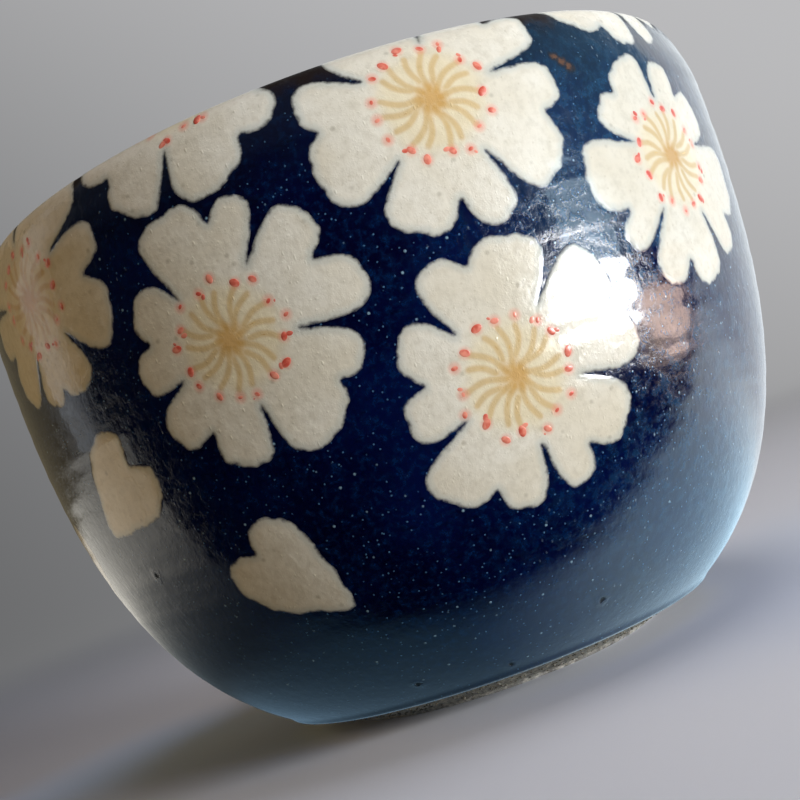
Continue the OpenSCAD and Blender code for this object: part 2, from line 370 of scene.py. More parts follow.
sand_grains, given, out = grower("sand_grains", {
    "Grains per square metre": "Float", "Smallest": "Float", "Largest": "Float", "Seed": "Int"})
tree = sand_grains
clear_of_table = put(
    tree, "FunctionNodeCompare", {"data_type": "FLOAT", "operation": "GREATER_THAN"})
plug(tree, clear_of_table.inputs[0], put(
    tree, "ShaderNodeSeparateXYZ",
    Vector=put(tree, "GeometryNodeInputPosition").outputs[0]).outputs["Z"])
clear_of_table.inputs[1].default_value = 0.35 * MM
scattered = put(
    tree, "GeometryNodeDistributePointsOnFaces", Mesh=given["Geometry"],
    Density=given["Grains per square metre"], Seed=given["Seed"],
    Selection=clear_of_table.outputs[0],
)
size = put(tree, "FunctionNodeRandomValue", {"data_type": "FLOAT"}, Seed=given["Seed"])
plug(tree, size.inputs[2], given["Smallest"])
plug(tree, size.inputs[3], given["Largest"])
put_out(tree, given, out, put(
    tree, "GeometryNodeInstanceOnPoints", Points=scattered.outputs["Points"],
    Instance=put(tree, "GeometryNodeMeshIcoSphere", Radius=1.0, Subdivisions=2).outputs[0],
    Rotation=scattered.outputs["Rotation"], Scale=size.outputs[1],
))


def grown(name, base, tree, material, **inputs):
    """Runs a Geometry Nodes group on a mesh and returns the result as a plain piece."""
    carrier = bpy.data.objects.new(name + "_carrier", base)
    bpy.context.scene.collection.objects.link(carrier)
    modifier = carrier.modifiers.new(name, "NODES")
    modifier.node_group = tree
    sockets = {s.name: s.identifier for s in tree.interface.items_tree if s.in_out == "INPUT"}
    for key, value in dict(inputs, Finish=material).items():
        modifier[sockets[key.replace("_", " ")]] = value
    result = carrier.evaluated_get(bpy.context.evaluated_depsgraph_get())
    mesh = bpy.data.meshes.new_from_object(result)
    carrier.modifiers.clear()
    bpy.data.objects.remove(carrier)
    return as_piece(name, mesh, material)


grain_finish, tree, shader = new_finish("sand_grain", Roughness=0.8)
tint = cloud(tree, millimetres(tree), 1.7)
plug(tree, shader["Base Color"], mix(
    tree, fade(tree, tint, 0.4, 0.62), (0.09, 0.08, 0.06), (0.36, 0.34, 0.28)))
relief(tree, shader, cloud(tree, millimetres(tree), 9.0), 0.02)
sand_on_foot = grown(
    "foot_sand", foot.data.copy(), sand_grains, grain_finish,
    Grains_per_square_metre=1.75e6, Smallest=0.04 * MM, Largest=0.13 * MM, Seed=4,
)
stands_for(foot, "bare_foot_clay", "foot_ring")
stands_for(sand_on_foot, "bare_foot_clay")

# ---------------------------------------------------------------------------------------
# Inner glaze: the cream glaze poured round the bowl, from the crown of the lip over the
# floor. It is crackled, has a few iron specks, and pools a little darker in the middle.
inner_glaze_up = np.concatenate([
    np.linspace(crown_up, crown_up + 7, 40), np.linspace(crown_up + 7, even[-1], 90)[1:]])
glaze_depth = 0.38


def glaze_skin(name, ups, proud, steps_round, material):
    """Closed skin of one glaze along a stretch of the section, with its distance up the wall."""
    azimuths = np.linspace(0, 360, steps_round, endpoint=False)[None, :]
    back = ups[::-4]
    rows = np.vstack([
        on_glaze(azimuths, ups[:, None], proud),
        on_glaze(azimuths, back[:, None], -glaze_depth),
    ])
    made = joined_rows(name, rows, material)
    value = np.repeat(np.concatenate([ups, back]), steps_round)
    made.data.attributes.new("up", "FLOAT", "POINT").data.foreach_set("value", value)
    return made


inner_finish, tree, shader = new_finish(
    "cream_glaze", Roughness=0.16, Coat_Weight=0.6, Coat_Roughness=0.05)
here = millimetres(tree)
up = carried(tree, "up")
cracks = put(tree, "ShaderNodeTexVoronoi", {"feature": "DISTANCE_TO_EDGE"}, Vector=here, Scale=0.27)
crack = fade(tree, cracks.outputs["Distance"], 0.0, 0.02, 0.35, 0)
cream = mix(
    tree, fade(tree, cloud(tree, here, 0.12), 0.3, 0.7), (0.66, 0.6, 0.48), (0.74, 0.7, 0.6))
cream = mix(tree, fade(tree, up, even[-1] - 20, even[-1], 0, 0.55), cream, (0.46, 0.42, 0.3))
cream = mix(tree, crack, cream, (0.2, 0.15, 0.09))
cream = mix(tree, dots(tree, here, 0.6, 0.75, 0.05, 0.13), cream, (0.14, 0.1, 0.06))
plug(tree, shader["Base Color"], mix(
    tree, fade(tree, up, crown_up + 1.6, crown_up, 0, 0.5), cream, (0.3, 0.22, 0.13)))
relief(tree, shader, calc(
    tree, "SUBTRACT", product(tree, cloud(tree, here, 0.5), 0.03), product(tree, crack, 0.01)))
inside = glaze_skin("cream_inner_glaze", inner_glaze_up, 0.0, 300, inner_finish)
# All the points that meet in the middle of the floor become one
body = bmesh.new()
body.from_mesh(inside.data)
bmesh.ops.remove_doubles(body, verts=body.verts, dist=0.02 * MM)
bmesh.ops.recalc_face_normals(body, faces=body.faces)
body.to_mesh(inside.data)
body.free()
stands_for(inside, "cream_glaze", "inner_glaze")

# ---------------------------------------------------------------------------------------
# Cobalt ground: cobalt blue brushed on the whole outside under clear glaze, with pale
# specks that are partly painted glints, pinholes with painted shade in them, a burnt brown lip
# with painted shade below it, painted sheen on the +X side, and a pale bead where the glaze
# stops above the foot, partly a painted highlight.
# Pinholes and the touches of one brown fleck: azimuth and millimetres up the wall.
pinholes = ((-47.5, 20.0), (20.6, 5.6), (1.2, 1.9), (-17.6, 3.4), (101, 12), (171, 31), (-118, 9))
fleck = ((32.2, lip_up - 2.35), (33, lip_up - 2.8), (33.8, lip_up - 3.25))

cobalt, given, out = group(
    "painted_cobalt", {"Up": "Float"},
    {"Color": "Color", "Roughness": "Float", "Coat": "Float", "Height": "Float"},
)
tree = cobalt
here = millimetres(tree)
pool = cloud(tree, here, 0.07)
mottle = cloud(tree, here, 1.9, 4, 0.68)
strokes = cloud(tree, millimetres(tree, (1, 1, 3.2)), 0.8, 3)
blue = mix(
    tree, fade(tree, pool, 0.35, 0.68), (0.0003, 0.0005, 0.015), (0.0008, 0.0045, 0.045))
blue = mix(tree, fade(tree, mottle, 0.45, 0.74, 0, 0.7), blue, (0.001, 0.02, 0.085))
blue = mix(tree, fade(tree, strokes, 0.55, 0.75, 0, 0.5), blue, (0.0004, 0.0008, 0.006))
# Towards +X, the side that the lamps light, the blue is paler in blotches: partly thinner, more
# broken cobalt, partly painted sheen where the glaze reflects a bright band. The pale streaks there
# are painted glints.
lit_side = fade(tree, put(tree, "ShaderNodeSeparateXYZ", Vector=here).outputs["X"], -2, 27)
blotches = fade(tree, cloud(tree, here, 1.15, 5, 0.72), 0.44, 0.66, 0, 0.8)
blue = mix(tree, product(tree, lit_side, blotches), blue, (0.009, 0.05, 0.12))
streaks = dots(tree, millimetres(tree, (1, 1, 0.5)), 1.5, 0.5, 0.03, 0.16)
streak_glints = product(tree, streaks, lit_side, 0.6)
blue = mix(tree, streak_glints, blue, (0.36, 0.5, 0.6))
# Pale specks: partly the glaze's own, partly painted glints on tiny bubbles
specks = dots(tree, here, 0.85, 0.35, 0.03, 0.12)
fine_specks = dots(tree, here, 2.1, 0.35, 0.05, 0.2)
blue = mix(tree, product(tree, specks, 0.8), blue, (0.26, 0.42, 0.54))
blue = mix(tree, product(tree, fine_specks, 0.65), blue, (0.1, 0.24, 0.4))
ragged = calc(tree, "ADD", given["Up"], sway(tree, cloud(tree, here, 0.55), 4))
# Painted shade: a grey-black band over the blue below the burnt lip
lip_shade = fade(tree, ragged, crown_up - 10, crown_up - 3, 0, 0.6)
blue = mix(tree, lip_shade, blue, (0.004, 0.006, 0.008))
burnt = fade(tree, ragged, crown_up - 3.4, crown_up - 1.4)
blue = mix(tree, burnt, blue, (0.012, 0.006, 0.004))


def nearest_of(places):
    """Millimetres to the nearest of some places on the glaze."""
    nearest = None
    for azimuth, height in places:
        gap = put(tree, "ShaderNodeVectorMath", {"operation": "DISTANCE"})
        plug(tree, gap.inputs[0], here)
        gap.inputs[1].default_value = on_glaze(azimuth, height, 0) / MM
        nearest = gap.outputs["Value"] if nearest is None else calc(
            tree, "MINIMUM", nearest, gap.outputs["Value"])
    return nearest


unsteady = sway(tree, cloud(tree, here, 2.4), 0.7)
nearest = calc(tree, "ADD", nearest_of(pinholes), unsteady)
# Painted shade: the pinholes' dark middles stand for shade in the pits; their rims are only bumps
hole = fade(tree, nearest, 0.1, 0.3, 1, 0)
rim = product(tree, fade(tree, nearest, 0.22, 0.36), fade(tree, nearest, 0.36, 0.8, 1, 0))
blue = mix(tree, hole, blue, (0.002, 0.002, 0.002))
from_fleck = calc(tree, "ADD", nearest_of(fleck), unsteady)
blue = mix(tree, fade(tree, from_fleck, 0.35, 0.6, 1, 0), blue, (0.012, 0.005, 0.003))
blue = mix(tree, fade(tree, from_fleck, 0.05, 0.4, 1, 0), blue, (0.11, 0.045, 0.012))
# A pale line where the glaze stops: partly clear glaze with no cobalt under it, partly a painted
# highlight along the bead
pale_edge_and_highlight = fade(tree, given["Up"], 0.2, 0.55, 1, 0)
plug(tree, out["Color"], mix(tree, pale_edge_and_highlight, blue, (0.42, 0.38, 0.28)))
fine = cloud(tree, millimetres(tree, (1, 1, 0.4)), 3.2, 2)
dull = calc(tree, "MAXIMUM", burnt, hole)
plug(tree, out["Roughness"], calc(
    tree, "MULTIPLY_ADD", dull, 0.6, fade(tree, fine, 0.3, 0.7, 0.08, 0.2)))
plug(tree, out["Coat"], calc(tree, "MULTIPLY_ADD", dull, -0.5, 0.5))
skin = product(tree, cloud(tree, here, 0.75, 2), 0.036)
for bumps, height in (
    (mottle, 0.008), (streaks, 0.02), (blotches, 0.012), (specks, 0.014), (fine_specks, 0.01),
    (fine, 0.014), (rim, 0.04), (hole, -0.3),
):
    skin = calc(tree, "MULTIPLY_ADD", bumps, height, skin)
plug(tree, out["Height"], skin)

ground_finish, tree, shader = new_finish("cobalt_under_clear_glaze", Coat_Roughness=0.04)
up = carried(tree, "up")
painted = use(tree, cobalt, Up=up)
plug(tree, shader["Base Color"], painted["Color"])
plug(tree, shader["Roughness"], painted["Roughness"])
plug(tree, shader["Coat Weight"], painted["Coat"])
relief(tree, shader, painted["Height"])

ground_up = np.concatenate([
    np.linspace(0, 1.6, 14), np.linspace(1.6, lip_up, 120)[1:],
    np.linspace(lip_up, crown_up, 22)[1:],
])
bead_height = 0.13 * np.exp(-((ground_up - 0.45) / 0.35) ** 2)[:, None]
ground = glaze_skin("cobalt_ground_and_glaze", ground_up, bead_height, 480, ground_finish)
stands_for(ground, "cobalt_glaze", "cobalt_ground")

# ---------------------------------------------------------------------------------------
# Blossoms: white slip left bare of cobalt, in the outline of five notched petals, under
# the same clear glaze, which runs their edges softly into the blue round them.
# Each has its azimuth, height as a share of the cup's, and for each petal its direction and
# length; the share over 1 is how many of its radii the middle lies above the crown.
blossom_r = 9.6
# The slits end this far out; evenly spread petals differ by these degrees and shares
slit_share, petal_turn, petal_length, petal_spread = 0.5, 4, 0.96, 0.05


def whim(a, b):
    """A number between -1 and 1 that looks random, the same each time."""
    return math.sin(math.radians(97 * a + 151 * b))


def spray(turn):
    """Five petals evenly spread, each a little out of its place."""
    return [
        (turn + 72 * k + petal_turn * whim(turn, k), petal_length + petal_spread * whim(k, turn))
        for k in range(5)
    ]


blossoms = (
    (-18, 0.665, [(-125, 0.9), (-47, 0.97), (24, 1.04), (87, 1), (161, 0.82)]),
    (13, 0.478, [(-118, 0.97), (-50, 0.95), (19, 1.05), (89, 0.98), (168, 0.84)]),
    (14, 0.89, [(-174, 0.97), (-98, 0.97), (-24, 1.02), (43, 1.03), (110, 0.8)]),
    (47.5, 0.73, [(-160, 1), (-100, 1.02), (-31, 1.02), (49, 0.81), (124, 0.83)]),
    (-48, 0.86, [(-150, 0.97), (-84, 0.88), (-12, 1), (62, 1), (134, 0.98)]),
    (88, 0.80, spray(-150)), (118, 0.52, spray(-140)), (138, 0.89, spray(-172)),
    (166, 0.60, spray(-130)), (198, 0.86, spray(-160)), (229, 0.56, spray(-144)),
    (262, 0.84, spray(-165)),
    (-16.5, 1.3, [(-143, 0.98), (-61, 0.94), (14, 1), (82, 1), (152, 1)]),
    (49, 1.581, [(-113, 1), (-52, 1), (20, 1), (95, 1), (170, 1)]),
)
with_stamens, with_anthers = 12, 13
# Outline of one petal from slit to slit: place as a share of the way from its middle to the
# slit beside it, and distance as a share of its length.
petal_outline = (
    (-0.96, 0.58), (-0.94, 0.71), (-0.91, 0.83), (-0.86, 0.92), (-0.76, 0.98), (-0.58, 1),
    (-0.38, 1), (-0.22, 0.97), (-0.11, 0.92), (-0.03, 0.85), (0.04, 0.86), (0.1, 0.92),
    (0.22, 0.98), (0.4, 1), (0.6, 1), (0.76, 0.97), (0.86, 0.91), (0.91, 0.81), (0.94, 0.7),
    (0.96, 0.57),
)
# Stamens and anthers, as they are painted round each heart
stamen_count, stamen_r, heart_r, anther_r, anther_gap = 17, 3.25, 1.2, 0.32, 0.15
stamen_turn_share, stamen_end_share, short_start_share, stamen_bend = 0.12, 0.04, 0.35, 0.12
anther_spread_share = 0.9


def brushed(points, seed, times=2):
    """A closed outline with its corners cut and its line unsteady, as a brush leaves it."""
    for _ in range(times):
        after = np.roll(points, -1, 0)
        cut = [0.8 * points + 0.2 * after, 0.2 * points + 0.8 * after]
        points = np.stack(cut, 1).reshape(-1, 2)
    along = np.append(0, np.cumsum(np.hypot(*np.diff(points, axis=0).T)))
    unsteady = sum(
        size * np.sin(along * per_mm + times * seed)
        for size, per_mm, times in ((0.09, 1.3, 1), (0.06, 2.9, 2), (0.03, 6.1, 3))
    )
    return points * (1 + unsteady / np.hypot(*points.T).clip(1))[:, None]


def blossom_outline(which):
    """Flat outline of a blossom's five petals, in millimetres from its middle."""
    petals = blossoms[which][2]
    points = []
    for k, (middle, share) in enumerate(petals):
        before = petals[k - 1][0] - (0 if k else 360)
        after = petals[(k + 1) % 5][0] + (0 if k < 4 else 360)
        right, left = (middle - before) / 2, (after - middle) / 2
        points.append((middle - right, slit_share * blossom_r))
        for place, distance in petal_outline:
            notch = math.exp(-((place / 0.12) ** 2))
            distance += notch * (0.05 * whim(which + 3, k) - 0.05)
            distance += 0.04 * place * whim(k + 5, which)
            place += 0.2 * whim(k, which) * (1 - place * place) ** 2
            turn = middle + place * (right if place < 0 else left)
            points.append((turn, distance * share * blossom_r))
    turn, r = np.radians([p[0] for p in points]), np.array([p[1] for p in points])
    return brushed(np.column_stack([r * np.cos(turn), r * np.sin(turn)]), which + 1)


def anther_places(which):
    """Where the anthers of a blossom lie, flat on the wall, and the turn of each."""
    first = blossoms[which][2][0][0]
    places = []
    for k in range(stamen_count):
        turn = math.radians(first + 360 * (k + stamen_turn_share * whim(which, k)) / stamen_count)
        out = stamen_r + anther_gap + anther_r * (
            1 + anther_spread_share * (1 + whim(which + k, 3 * k)))
        places.append((out * math.cos(turn), out * math.sin(turn), turn))
    return places


def second_touches(which):
    """Smaller touches of the brush beside most of the anthers."""
    beside = 0.42
    return [
        (x + beside * math.cos(turn + 2.6 * k), y + beside * math.sin(turn + 2.6 * k), turn + k)
        for k, (x, y, turn) in enumerate(anther_places(which)) if k % 3
    ]


def stamen_lines(which):
    """Flat middle lines of a blossom's stamens from their inner to their outer ends."""
    first = blossoms[which][2][0][0]
    lines = []
    for k in range(stamen_count):
        turn = math.radians(first + 360 * (k + stamen_turn_share * whim(which, k)) / stamen_count)
        start = heart_r * 0.6 + (stamen_r - heart_r) * (short_start_share if k % 2 else 0)
        end = stamen_r * (1 - stamen_end_share * (1 + whim(which + k, 3 * k))) + 0.25
        t = np.linspace(0, 1, 9)
        along = start + (end - start) * t
        across = (end - start) * stamen_bend * np.sin(math.pi * t) * (1 if which % 2 == 0 else -1)
        lines.append(np.column_stack([
            along * math.cos(turn) - across * math.sin(turn),
            along * math.sin(turn) + across * math.cos(turn),
        ]))
    return lines


def up_of(share):
    """Millimetres up the wall of a height given as a share."""
    z = cup_h * min(share, 1) + blossom_r * max(share - 1, 0)
    if z < lip_z:
        return float(np.interp(z, section[:crown_at, 1], even[:crown_at]))
    return lip_up + z - lip_z


def over_lip(up):
    """Flat work bent over the lip's quarter round, level with the crown at its highest."""
    rise = np.clip((up - lip_up) / lip_r, 0, 1)
    return np.where(up < lip_up, up, lip_up + (crown_up - lip_up) * np.arcsin(rise) * 2 / math.pi)


def depth_within(points, outline):
    """Millimetres from each point to a closed outline, below 0 for points outside it."""
    nearest, inside = np.full(len(points), 1e9), np.zeros(len(points), bool)
    x, y = points.T
    for start, end in zip(outline, np.roll(outline, -1, 0)):
        span = end - start
        share = np.clip((points - start) @ span / max(span @ span, 1e-12), 0, 1)
        nearest = np.minimum(nearest, np.hypot(*(points - start - share[:, None] * span).T))
        level = (y < start[1]) != (y < end[1])
        if level.any():
            inside ^= level & (x < start[0] + (y - start[1]) * span[0] / span[1])
    return np.where(inside, nearest, -nearest)


def spread(outline, by):
    """The outline moved outwards, its points still in the same directions from the middle."""
    ways = outline / np.hypot(*outline.T)[:, None]
    along = ways @ outline.T
    across = ways[:, :1] * outline[:, 1] - ways[:, 1:] * outline[:, 0]
    reach = along + np.sqrt(np.clip(by * by - across * across, 0, None))
    return ways * np.where((np.abs(across) < by) & (along > 0), reach, 0).max(1)[:, None]


def to_nearest(flat, spots):
    """Millimetres from each flat point to the nearest of some spots."""
    return np.hypot(*(flat[:, None] - spots[None]).transpose(2, 0, 1)).min(1)


def painted_patch(name, azimuth, centre_up, outline, rings, material, marks=(), lines=()):
    """Closed thin patch on the wall for the white within a flat outline, and for a border of
    the blue round it. It carries the distances to the outline, to its middle, to an anther and
    to a stamen as attributes."""
    border, slope, sunk, rise, thickness, far = 0.35, 0.6, -0.014, 0.036, 0.3, 99.0
    grown_outline = spread(outline, border)
    count = len(outline)
    flat = np.vstack([[(0, 0)], *(grown_outline * share for share in rings)])
    body = bmesh.new()
    verts = [body.verts.new((x, y, 0)) for x, y in flat]
    for k in range(count):
        after = (k + 1) % count
        body.faces.new((verts[0], verts[1 + k], verts[1 + after]))
        for ring in range(len(rings) - 1):
            a, b = 1 + ring * count, 1 + (ring + 1) * count
            body.faces.new((verts[a + k], verts[b + k], verts[b + after], verts[a + after]))
    # What would lie past the crown is cut off, and the lip's quarter round gets rows of its own
    crown_y = lip_up + lip_r - centre_up
    if grown_outline[:, 1].max() > crown_y - lip_r:
        for quarter in np.linspace(math.pi / 2, 0, 14):
            bmesh.ops.bisect_plane(
                body, geom=body.verts[:] + body.edges[:] + body.faces[:], dist=1e-5,
                plane_co=(0, crown_y - lip_r * (1 - math.sin(quarter)), 0), plane_no=(0, 1, 0),
                clear_outer=quarter > 1.57,
            )
    body.verts.index_update()
    flat = np.array([v.co[:2] for v in body.verts])
    faces = [[v.index for v in f.verts] for f in body.faces]
    open_edges = [
        [loop.vert.index, loop.link_loop_next.vert.index]
        for f in body.faces for loop in f.loops if loop.edge.is_boundary
    ]
    body.free()
    edge = depth_within(flat, outline)
    ups = over_lip(centre_up + flat[:, 1])
    r = np.interp(ups, even, section[:, 0])
    azimuths = azimuth + np.degrees(flat[:, 0] / r)
    soft = np.clip((edge + border) / slope, 0, 1)
    proud = sunk + rise * soft * soft * (3 - 2 * soft)
    points = np.vstack([on_glaze(azimuths, ups, proud), on_glaze(azimuths, ups, -thickness)])
    half = len(flat)
    faces += [[half + i for i in reversed(face)] for face in faces]
    faces += [[b, a, half + a, half + b] for a, b in open_edges]
    mesh = bpy.data.meshes.new(name)
    mesh.from_pydata(points.tolist(), [], faces)
    made = as_piece(name, mesh, material)
    anther = to_nearest(flat, np.array([mark[:2] for mark in marks] or [(far, far)]))
    heart = np.hypot(*flat.T)
    stamen = np.full(len(flat), far)
    near = heart < 6
    for line in lines:
        steps = np.vstack([line, (line[1:] + line[:-1]) / 2])
        stamen[near] = np.minimum(stamen[near], to_nearest(flat[near], steps))
    for key, value in (
        ("up", ups), ("edge", edge), ("heart", heart), ("anther", anther), ("stamen", stamen),
    ):
        column = made.data.attributes.new(key, "FLOAT", "POINT").data
        column.foreach_set("value", np.tile(value, 2))
    return made


def white_finish(name, with_heart):
    """White slip under the clear glaze, running into the cobalt at its edges."""
    material, tree, shader = new_finish(name, Coat_Weight=0.5, Coat_Roughness=0.04)
    here = millimetres(tree)
    up, edge, heart, anther, stamen = (
        carried(tree, key) for key in ("up", "edge", "heart", "anther", "stamen"))
    painted = use(tree, cobalt, Up=up)
    grain = cloud(tree, here, 1.6, 4, 0.6)
    pool = fade(tree, cloud(tree, here, 0.16), 0.3, 0.7)
    white = mix(tree, pool, (0.7, 0.655, 0.55), (0.78, 0.755, 0.68))
    white = mix(tree, fade(tree, grain, 0.4, 0.75, 0, 0.5), white, (0.56, 0.52, 0.43))
    fine = product(tree, dots(tree, here, 1.9, 0.6, 0.05, 0.22), 0.3)
    coarse = product(tree, dots(tree, here, 0.75, 0.62, 0.04, 0.2), 0.45)
    white = mix(tree, fine, white, (0.42, 0.36, 0.26))
    white = mix(tree, coarse, white, (0.3, 0.27, 0.2))
    if with_heart:
        ragged = calc(tree, "ADD", heart, sway(tree, cloud(tree, here, 0.9), 1.3))
        white = mix(tree, fade(tree, ragged, 2.7, 4.4, 0.5, 0), white, (0.8, 0.68, 0.42))
        white = mix(tree, fade(tree, stamen, 0.08, 0.36, 0.6, 0), white, (0.58, 0.38, 0.13))
        white = mix(tree, fade(tree, ragged, 0.3, 1.6, 0.8, 0), white, (0.58, 0.32, 0.07))
        white = mix(tree, fade(tree, anther, 0.15, 0.62, 0.6, 0), white, (0.8, 0.33, 0.24))
    wet = calc(tree, "ADD", edge, sway(tree, grain, 0.5))
    white = mix(tree, fade(tree, wet, 0.1, 0.7, 0.45, 0), white, (0.42, 0.48, 0.48))
    white = mix(tree, fade(tree, up, crown_up - 1.2, crown_up, 0, 0.5), white, (0.42, 0.3, 0.17))
    blue_share = fade(tree, wet, -0.14, 0.2, 1, 0)
    plug(tree, shader["Base Color"], mix(tree, blue_share, white, painted["Color"]))
    plug(tree, shader["Roughness"], painted["Roughness"])
    relief(tree, shader, calc(
        tree, "ADD", product(tree, painted["Height"], 0.8), product(tree, grain, 0.012)))
    return material


petal_finish = white_finish("white_petals", True)
# Rings of points, close together where the stamens and the edges are
blossom_rings = np.concatenate([
    np.arange(0.03, 0.5, 0.024), np.linspace(0.5, 0.9, 15), (0.925, 0.95, 0.97, 0.986, 1)])
for which, (azimuth, share, _) in enumerate(blossoms):
    name = f"blossom_{which + 1}_petals"
    made = painted_patch(
        name + "_white", azimuth, up_of(share), blossom_outline(which), blossom_rings, petal_finish,
        anther_places(which) if which < with_anthers else (),
        stamen_lines(which) if which < with_stamens else (),
    )
    stands_for(made, "petal_white", name)

# ---------------------------------------------------------------------------------------
# Stamens: yellow ochre enamel painted over the glaze in short curved strokes that stand a
# little proud, long and short in turn round the heart of a blossom.


def stored(tree, name, kind="FLOAT"):
    """A value that the base mesh carries."""
    return put(tree, "GeometryNodeInputNamedAttribute", {"data_type": kind}, Name=name).outputs[0]


brush_strokes, given, out = grower("brush_strokes", {"Sides": "Int"})
tree = brush_strokes
profile = put(tree, "GeometryNodeCurvePrimitiveCircle", {"mode": "RADIUS"},
              Resolution=given["Sides"], Radius=1.0)
put_out(tree, given, out, put(
    tree, "GeometryNodeCurveToMesh",
    Curve=put(tree, "GeometryNodeMeshToCurve", Mesh=given["Geometry"]).outputs[0],
    Profile_Curve=profile.outputs[0], Scale=stored(tree, "half_width"), Fill_Caps=True,
))

ochre_finish, tree, shader = new_finish(
    "ochre_enamel", Roughness=0.6, Specular_IOR_Level=0.35)
here = millimetres(tree)
load = fade(tree, cloud(tree, here, 0.5), 0.35, 0.65)
ochre = mix(tree, load, (0.42, 0.23, 0.05), (0.66, 0.42, 0.12))
ochre = mix(tree, fade(tree, cloud(tree, here, 2.0), 0.4, 0.65, 0, 0.6), ochre, (0.78, 0.6, 0.28))
plug(tree, shader["Base Color"], ochre)
relief(tree, shader, cloud(tree, here, 4.0), 0.03)


def flat_to_wall(which, x, y):
    """Azimuth and millimetres up the wall of a place beside a blossom's middle."""
    azimuth, share = blossoms[which][:2]
    ups = over_lip(up_of(share) + y)
    return azimuth + np.degrees(x / np.interp(ups, even, section[:, 0])), ups


# Each stroke is the top of a round bar that lies nearly all within the glaze; it is proudest
# in its middle and dips into the glaze at its ends.
t = np.linspace(0, 1, 9)
proud = 0.032 * np.sin(math.pi * (0.1 + 0.84 * t)) - 0.009
for which in range(with_stamens):
    points, widths, links = [], [], []
    for k, line in enumerate(stamen_lines(which)):
        half = 0.62 + 0.22 * whim(k, which + 2)
        links += [(len(points) + i, len(points) + i + 1) for i in range(len(t) - 1)]
        points += on_glaze(*flat_to_wall(which, *line.T), proud - half).tolist()
        widths += [half * MM] * len(t)
    base = bpy.data.meshes.new("stamen_lines")
    base.from_pydata(points, links, [])
    base.attributes.new("half_width", "FLOAT", "POINT").data.foreach_set("value", widths)
    name = f"blossom_{which + 1}_stamens"
    made = grown(name + "_ochre", base, brush_strokes, ochre_finish, Sides=44)
    stands_for(made, "stamen_yellow", name)

# ---------------------------------------------------------------------------------------
# Anthers: touches of coral red enamel past the ends of the stamens, each a small raised
# drop drawn out a little by the brush.
brush_touches, given, out = grower(
    "brush_touches", {"Long": "Float", "Broad": "Float", "Thick": "Float"})
tree = brush_touches
upright = put(tree, "FunctionNodeAlignRotationToVector", {"axis": "Z"},
              Vector=stored(tree, "out", "FLOAT_VECTOR"))
lying = put(tree, "FunctionNodeAlignRotationToVector", {"axis": "X", "pivot_axis": "Z"},
            Rotation=upright.outputs[0], Vector=stored(tree, "drawn", "FLOAT_VECTOR"))
scale = put(tree, "ShaderNodeVectorMath", {"operation": "SCALE"}, Scale=stored(tree, "size"))
plug(tree, scale.inputs[0], put(
    tree, "ShaderNodeCombineXYZ", X=given["Long"], Y=given["Broad"], Z=given["Thick"],
).outputs[0])
put_out(tree, given, out, put(
    tree, "GeometryNodeInstanceOnPoints",
    Points=put(tree, "GeometryNodeMeshToPoints", Mesh=given["Geometry"]).outputs[0],
    Instance=put(tree, "GeometryNodeMeshIcoSphere", Radius=1.0, Subdivisions=3).outputs[0],
    Rotation=lying.outputs[0], Scale=scale.outputs[0],
))

coral_finish, tree, shader = new_finish(
    "coral_enamel", Roughness=0.3, Coat_Weight=0.4, Coat_Roughness=0.08)
here = millimetres(tree)
load = fade(tree, cloud(tree, here, 1.4), 0.35, 0.65)
plug(tree, shader["Base Color"], mix(tree, load, (0.6, 0.08, 0.05), (0.82, 0.3, 0.22)))
relief(tree, shader, cloud(tree, here, 5.0), 0.02)

second_size = 0.62
for which in range(with_anthers):
    x, y, turn = np.vstack([anther_places(which), second_touches(which)]).T
    inside_lip = up_of(blossoms[which][1]) + y < lip_up + lip_r - 0.3
    x, y, turn = x[inside_lip], y[inside_lip], turn[inside_lip]
    azimuths, ups = flat_to_wall(which, x, y)
    centre = on_glaze(azimuths, ups, 0)
    out = on_glaze(azimuths, ups, 1) - centre
    drift = turn + 0.9 + 0.8 * np.array([whim(k, which) for k in range(len(turn))])
    next_to = flat_to_wall(which, x + 0.2 * np.cos(drift), y + 0.2 * np.sin(drift))
    drawn = on_glaze(*next_to, 0) - centre
    base = bpy.data.meshes.new("anther_places")
    base.from_pydata(centre.tolist(), [], [])
    for key, value in (("out", out), ("drawn", drawn)):
        column = base.attributes.new(key, "FLOAT_VECTOR", "POINT").data
        column.foreach_set("vector", value.ravel())
    sizes = [
        (1 if k < stamen_count else second_size) + 0.3 * whim(3 * k, which)
        for k in range(len(turn))
    ]
    base.attributes.new("size", "FLOAT", "POINT").data.foreach_set("value", sizes)
    name = f"blossom_{which + 1}_anthers"
    made = grown(name + "_coral", base, brush_touches, coral_finish,
                 Long=0.33 * MM, Broad=0.22 * MM, Thick=0.045 * MM)
    stands_for(made, "anther_red", name)

# ---------------------------------------------------------------------------------------
# Loose petals: the same white, in single notched petals that drift below the blossoms.
# Each has its azimuth, height as a share of the cup's and turn in degrees.
loose_petals = (
    (-45.5, 0.514, 34), (-23.6, 0.305, 128), (96, 0.28, 70), (146, 0.25, 115),
    (192, 0.30, 55), (250, 0.24, 120), (286, 0.42, 80),
)
loose_length = 9.6
